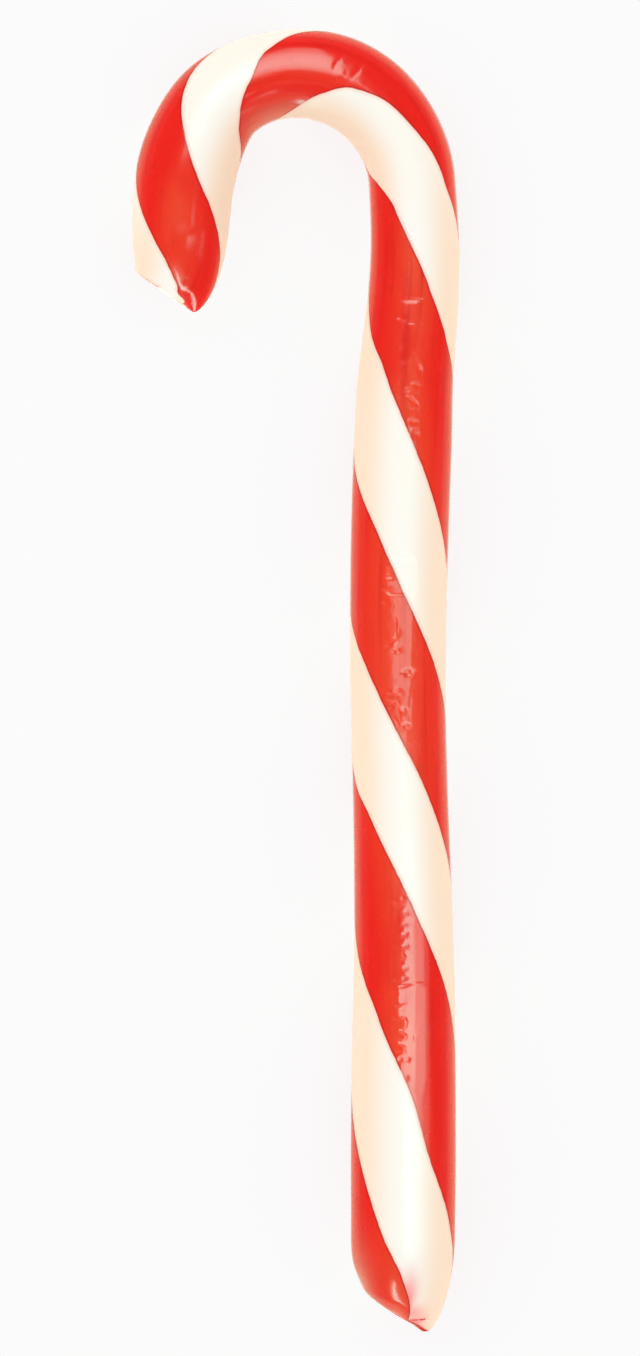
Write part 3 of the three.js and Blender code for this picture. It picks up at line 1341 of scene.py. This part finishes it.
@dataclass
class Cane:
    """The cane: one crooked rod of sugar, in one piece."""

    name: str = "cane_sugar"
    node: str = "cane"
    path: RodPath = field(default_factory=RodPath)
    marks: HandMarks = field(default_factory=HandMarks)
    skin: SkinTree = field(default_factory=SkinTree)
    finish: SugarFinish = field(default_factory=SugarFinish)
    plain_step: float = 0.6  # between rings, where the skin is smooth
    fine_step: float = 0.13  # between rings, where it is marked
    fine_runs: tuple[Span, ...] = (
        (28.5, 51.0), (69.0, 89.8), (104.0, 113.0), (117.0, 120.6), (145.8, 151.0),
    )
    fine_blend: float = 2.5
    settled: Span = (0.0002, 0.0015)  # metres above the slab, between which the marks fade in

    def build(self) -> bpy.types.Object:
        """Builds and dresses the cane.

        Returns:
            The finished piece, at the origin, with its place in its mesh.
        """
        rings = self._rings()
        rings.middle[:, :2] += self._centring(rings)
        material = self.finish.build()
        piece = self._wrap(rings, material)
        self._sculpt(piece.data)
        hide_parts(self.node)
        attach(piece, "root")
        piece.visible_glossy = False
        LOG.info("%s: %d rings, %d faces", piece.name, len(rings.at), len(piece.data.polygons))
        return piece

    def _rings(self) -> Rings:
        """All rings, closest where the skin is marked.

        Returns:
            The rings from the foot to the tip.
        """
        foot, tip = self.path.foot, self.path.tip
        start = foot.inset + foot.length
        end = self.path.length - tip.inset - tip.length
        places = [start]
        while places[-1] < end:
            away = min(max(low - places[-1], places[-1] - high, 0.0) for low, high in self.fine_runs)
            share = min(away / self.fine_blend, 1.0)
            places.append(places[-1] + self.fine_step + (self.plain_step - self.fine_step) * share)
        at = np.array(places)
        at = start + (at - start) * (end - start) / (at[-1] - start)
        rings = self.path.pinched_rings(foot, 0.0, 1.0).backwards()
        rings = rings.joined(self.path.plain_rings(at))
        return rings.joined(self.path.pinched_rings(tip, self.path.length, -1.0))

    def _centring(self, rings: Rings) -> Array:
        """How far the rings move, so that the rod lies where its solid does.

        Args:
            rings: The rings as they are.

        Returns:
            Their move along X and Y.
        """
        reach = np.abs(rings.sideways[:, :2])
        middle = rings.middle[:, :2]
        own = ((middle - reach).min(axis=0) + (middle + reach).max(axis=0)) / 2.0
        low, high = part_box(self.node)
        solid = (np.array(low[:2]) + np.array(high[:2])) / (2.0 * MM)
        return solid - own

    def _wrap(self, rings: Rings, material: bpy.types.Material) -> bpy.types.Object:
        """Wraps the skin round the rings with the Geometry Nodes tree.

        Args:
            rings: The rings to wrap.
            material: The finish that the tree sets.

        Returns:
            An object with the skin as a plain mesh.
        """
        line = bpy.data.meshes.new("cane_line")
        edges = [(order, order + 1) for order in range(len(rings.at) - 1)]
        line.from_pydata((rings.middle * MM).tolist(), edges, [])
        for name in ("middle", "sideways", "upward"):
            store(line, name, getattr(rings, name) * MM)
        store(line, "at", rings.at)
        piece = bpy.data.objects.new(self.name, line)
        bpy.context.scene.collection.objects.link(piece)
        tree = self.skin.build()
        modifier = piece.modifiers.new("skin", "NODES")
        modifier.node_group = tree
        given = {
            "Sides": self.skin.sides,
            "Crowding": self.skin.crowding,
            "Slab Level": 0.0,
            "Sugar": material,
        }
        for item in tree.interface.items_tree:
            if item.in_out == "INPUT" and item.name in given:
                modifier[item.identifier] = given[item.name]
        bpy.context.view_layer.update()
        evaluated = piece.evaluated_get(bpy.context.evaluated_depsgraph_get())
        mesh = bpy.data.meshes.new_from_object(evaluated)
        piece.modifiers.remove(modifier)
        piece.data = mesh
        mesh.name = self.name
        bpy.data.meshes.remove(line)
        return piece

    def _sculpt(self, mesh: bpy.types.Mesh) -> None:
        """Presses the hand's marks into the skin and stores what the finish reads.

        Args:
            mesh: The skin, as wrapped.
        """
        at = numbers(mesh.attributes["at"].data, "value")
        turn = numbers(mesh.attributes["corner"].data, "value") * FULL_TURN
        angle = turn - self.skin.crowding * np.sin(turn)
        angle = (angle + math.pi) % FULL_TURN - math.pi
        radius = self.path.radius(at)
        spots = numbers(mesh.vertices, "co", 3)
        normals = numbers(mesh.vertex_normals, "vector", 3)
        lift = self.marks.height(at, angle, radius) * smooth_step(spots[:, 2], *self.settled)
        spots += normals * (lift * MM)[:, None]
        spots[:, :2] += self.path.torn_edges(at, angle) * MM
        spots[:, 2] = np.maximum(spots[:, 2], 0.0)
        mesh.vertices.foreach_set("co", spots.ravel())
        stripes = Stripes(self.path)
        store(mesh, "stripe", stripes.distance(at, angle))
        # pink on the white: red bleeding in at the foot, and a painted glint at the tip
        store(mesh, "bleed", stripes.bleed(at, angle))
        # painted light: where the soft orange glow lies on the red
        store(mesh, "thin", stripes.thin(at, angle))
        # painted light: where the white loses its painted side shade, outside the crook
        store(mesh, "pale", stripes.pale(at, angle))
        # painted light: how far the orange glow on the crown of the red reaches, along the rod
        store(mesh, "warmth", eased(at, stripes.warmth))
        skin = np.stack([at, radius * np.cos(angle), radius * np.sin(angle)], axis=-1)
        store(mesh, "skin", skin)
        for name in ("middle", "sideways", "upward", "corner", "at"):
            mesh.attributes.remove(mesh.attributes[name])
        mesh.polygons.foreach_set("use_smooth", np.ones(len(mesh.polygons), bool))
        mesh.update()


@dataclass(frozen=True)
class Softbox:
    """A soft rectangular light that faces the cane. Its sizes are in metres."""

    name: str
    role: Role
    middle: tuple[float, float, float]
    width: float
    length: float
    radiance: float  # seen straight on
    beam: float = FULL_BEAM  # degrees: a grid on the box can make it narrower
    aim: tuple[float, float, float] | None = None  # straight down without it
    colour: Colour = (0.36, 1.0, 0.90)

    @classmethod
    def above(
        cls,
        name: str,
        across: Span,
        along: Span,
        radiance: float,
        height: float = 0.12,
        beam: float = FULL_BEAM,
    ) -> "Softbox":
        """A level light above the cane.

        Args:
            name: The light's name.
            across: Where it starts and ends along X.
            along: Where it starts and ends along Y.
            radiance: Its brightness, seen straight on.
            height: Its height above the slab.
            beam: The full angle that it shines into, in degrees.

        Returns:
            The light, not yet built.
        """
        return cls(
            name=name,
            role=Role.GLINT,
            middle=(sum(across) / 2.0, sum(along) / 2.0, height),
            width=across[1] - across[0],
            length=along[1] - along[0],
            radiance=radiance,
            beam=beam,
        )

    def build(self) -> bpy.types.Object:
        """Builds the light.

        Returns:
            The light.
        """
        light = bpy.data.lights.new(self.name, "AREA")
        light.shape = "RECTANGLE"
        light.color = self.colour
        light.size = self.width
        light.size_y = self.length
        light.spread = math.radians(self.beam)
        half = math.radians(self.beam / 2.0)
        focus = math.tan(half) / (math.tan(half) - half) if self.beam < FULL_BEAM else 1.0
        light.energy = self.radiance * math.pi * self.width * self.length / focus
        lamp = bpy.data.objects.new(self.name, light)
        lamp.location = self.middle
        if self.aim:
            ahead = Vector(self.aim) - Vector(self.middle)
            lamp.rotation_euler = ahead.to_track_quat("-Z", "Y").to_euler()
        lamp.visible_camera = False
        lamp.visible_diffuse = self.role is Role.GLOW
        lamp.visible_glossy = self.role is Role.GLINT
        bpy.context.scene.collection.objects.link(lamp)
        LOG.info("%s: %.2f x %.2f m", self.name, self.width, self.length)
        return lamp


@dataclass
class Studio:
    """A plain pale floor, soft lights and the camera."""

    floor_size: float = 8.0
    floor_glow: float = 0.846
    floor_colour: Colour = (0.12, 0.12, 0.12)
    backdrop: Colour = (0.965, 0.965, 0.968)
    fill: Colour = (0.97, 0.97, 0.97)
    gloss_fill: Colour = (0.04, 0.04, 0.04)
    gloss_floor: Colour = (0.52, 0.43, 0.29)  # of the floor in reflections, close to what mirrors it
    gloss_rim: Colour = (0.90, 0.82, 0.74)  # of it right below what mirrors it
    mirror_ramp: Ramp = (0.004, 0.036, 1.0, 0.0)  # metres from what mirrors it
    rim_ramp: Ramp = (0.0058, 0.0085, 1.0, 0.0)
    side_glow: float = 1.13  # of the floor, as a light on the cane's sides
    lens: float = 450.0
    sensor: float = 36.0
    clip: Span = (0.01, 20.0)  # metres from the camera
    view_height: float = 158.55  # of the frame's long side at the cane
    view_middle: tuple[float, float, float] = (2.81, 0.29, 6.0)
    softboxes: tuple[Softbox, ...] = (
        Softbox.above("side", (0.022, 0.141), (-0.140, -0.014), 5.1, beam=100.0),
        Softbox.above("side_core", (0.022, 0.047), (-0.140, -0.014), 5.8, beam=100.0),
        Softbox.above("side_far", (0.088, 0.190), (-0.140, -0.014), 0.7),
        Softbox.above("side_end", (0.022, 0.046), (-0.014, 0.022), 2.7, beam=60.0),
        Softbox.above("west", (-0.035, 0.022), (-0.018, 0.030), 0.9, beam=60.0),
        Softbox.above("neck", (0.040, 0.110), (0.018, 0.036), 7.5, beam=70.0),
        Softbox.above("back_core", (-0.062, 0.036), (0.155, 0.300), 3.0, height=0.25),
        Softbox.above("back", (-0.058, 0.050), (0.140, 0.420), 3.0, height=0.25),
        Softbox.above("back_wide", (-0.075, 0.064), (0.105, 0.700), 1.6, height=0.25),
        Softbox(
            name="foot",
            role=Role.GLINT,
            middle=(-0.160, -0.570, 0.137),
            width=0.04,
            length=0.21,
            radiance=7.0,
            aim=(0.013, -0.070, 0.0),
        ),
        Softbox(
            name="tip",
            role=Role.GLINT,
            middle=(-0.023, -0.0515, 0.0260),
            width=0.030,
            length=0.031,
            radiance=6.5,
            beam=60.0,
            aim=(-0.0125, 0.0455, 0.007),
        ),
        Softbox(
            name="window",
            role=Role.GLOW,
            middle=(-0.50, 0.60, 0.62),
            width=0.9,
            length=0.9,
            radiance=0.37,
            aim=(0.0, 0.0, 0.0),
            colour=PLAIN,
        ),
    )

    def build(self) -> None:
        """Builds the floor, the lights and the camera."""
        self._floor()
        self._world()
        for softbox in self.softboxes:
            softbox.build()
        self._camera()

    def _floor(self) -> None:
        """A flat floor that glows a little, so that shadows on it stay faint."""
        half = self.floor_size / 2.0
        mesh = bpy.data.meshes.new("floor")
        corners = [(-half, -half, 0.0), (half, -half, 0.0), (half, half, 0.0), (-half, half, 0.0)]
        mesh.from_pydata(corners, [], [(0, 1, 2, 3)])
        floor = bpy.data.objects.new("floor", mesh)
        bpy.context.scene.collection.objects.link(floor)
        material = bpy.data.materials.new("floor_paper")
        material.use_nodes = True
        paper = material.node_tree.nodes["Principled BSDF"]
        paper.inputs["Base Color"].default_value = (*self.floor_colour, 1.0)
        paper.inputs["Roughness"].default_value = 1.0
        paper.inputs["Specular IOR Level"].default_value = 0.0
        graph = Graph(material.node_tree)
        rays = graph.node("ShaderNodeLightPath").outputs
        near = graph.ramp(rays["Ray Length"], *self.mirror_ramp)
        mirrored = graph.vector("SCALE", self.gloss_floor, near)
        rim = graph.ramp(rays["Ray Length"], *self.rim_ramp)
        mirrored = graph.mix(rim, mirrored, self.gloss_rim)
        seen = graph.ramp(rays["Is Diffuse Ray"], 0.0, 1.0, self.floor_glow, self.side_glow)
        seen = graph.vector("SCALE", PLAIN, seen)
        colour = graph.mix(rays["Is Glossy Ray"], seen, mirrored)
        graph.feed(paper.inputs["Emission Color"], colour)
        paper.inputs["Emission Strength"].default_value = 1.0
        material.cycles.emission_sampling = "NONE"
        mesh.materials.append(material)

    def _world(self) -> None:
        """Surroundings that are pale to the eye and to matt surfaces, and dark in reflections."""
        scene = bpy.context.scene
        scene.world = bpy.data.worlds.new("studio")
        scene.world.use_nodes = True
        scene.world.cycles.sampling_method = "NONE"
        tree = scene.world.node_tree
        tree.nodes.clear()
        graph = Graph(tree)
        rays = graph.node("ShaderNodeLightPath").outputs
        lighting = graph.mix(rays["Is Glossy Ray"], self.fill, self.gloss_fill)
        colour = graph.mix(rays["Is Camera Ray"], lighting, self.backdrop)
        glow = graph.node("ShaderNodeBackground", {"Color": colour, "Strength": 1.0})
        graph.node("ShaderNodeOutputWorld", {"Surface": glow.outputs[0]})
        scene.view_settings.view_transform = "Standard"

    def _camera(self) -> None:
        """A camera straight above the cane."""
        lens = bpy.data.cameras.new("camera")
        lens.lens = self.lens
        lens.sensor_width = self.sensor
        lens.clip_start, lens.clip_end = self.clip
        camera = bpy.data.objects.new("camera", lens)
        distance = self.view_height / 2.0 / (self.sensor / 2.0 / self.lens)
        x, y, z = self.view_middle
        camera.location = (x * MM, y * MM, (z + distance) * MM)
        bpy.context.scene.collection.objects.link(camera)
        bpy.context.scene.camera = camera


def main() -> None:
    logging.basicConfig(level=logging.INFO, format="%(name)s: %(message)s")
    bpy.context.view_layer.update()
    Cane().build()
    Studio().build()


if __name__ == "__main__":
    main()
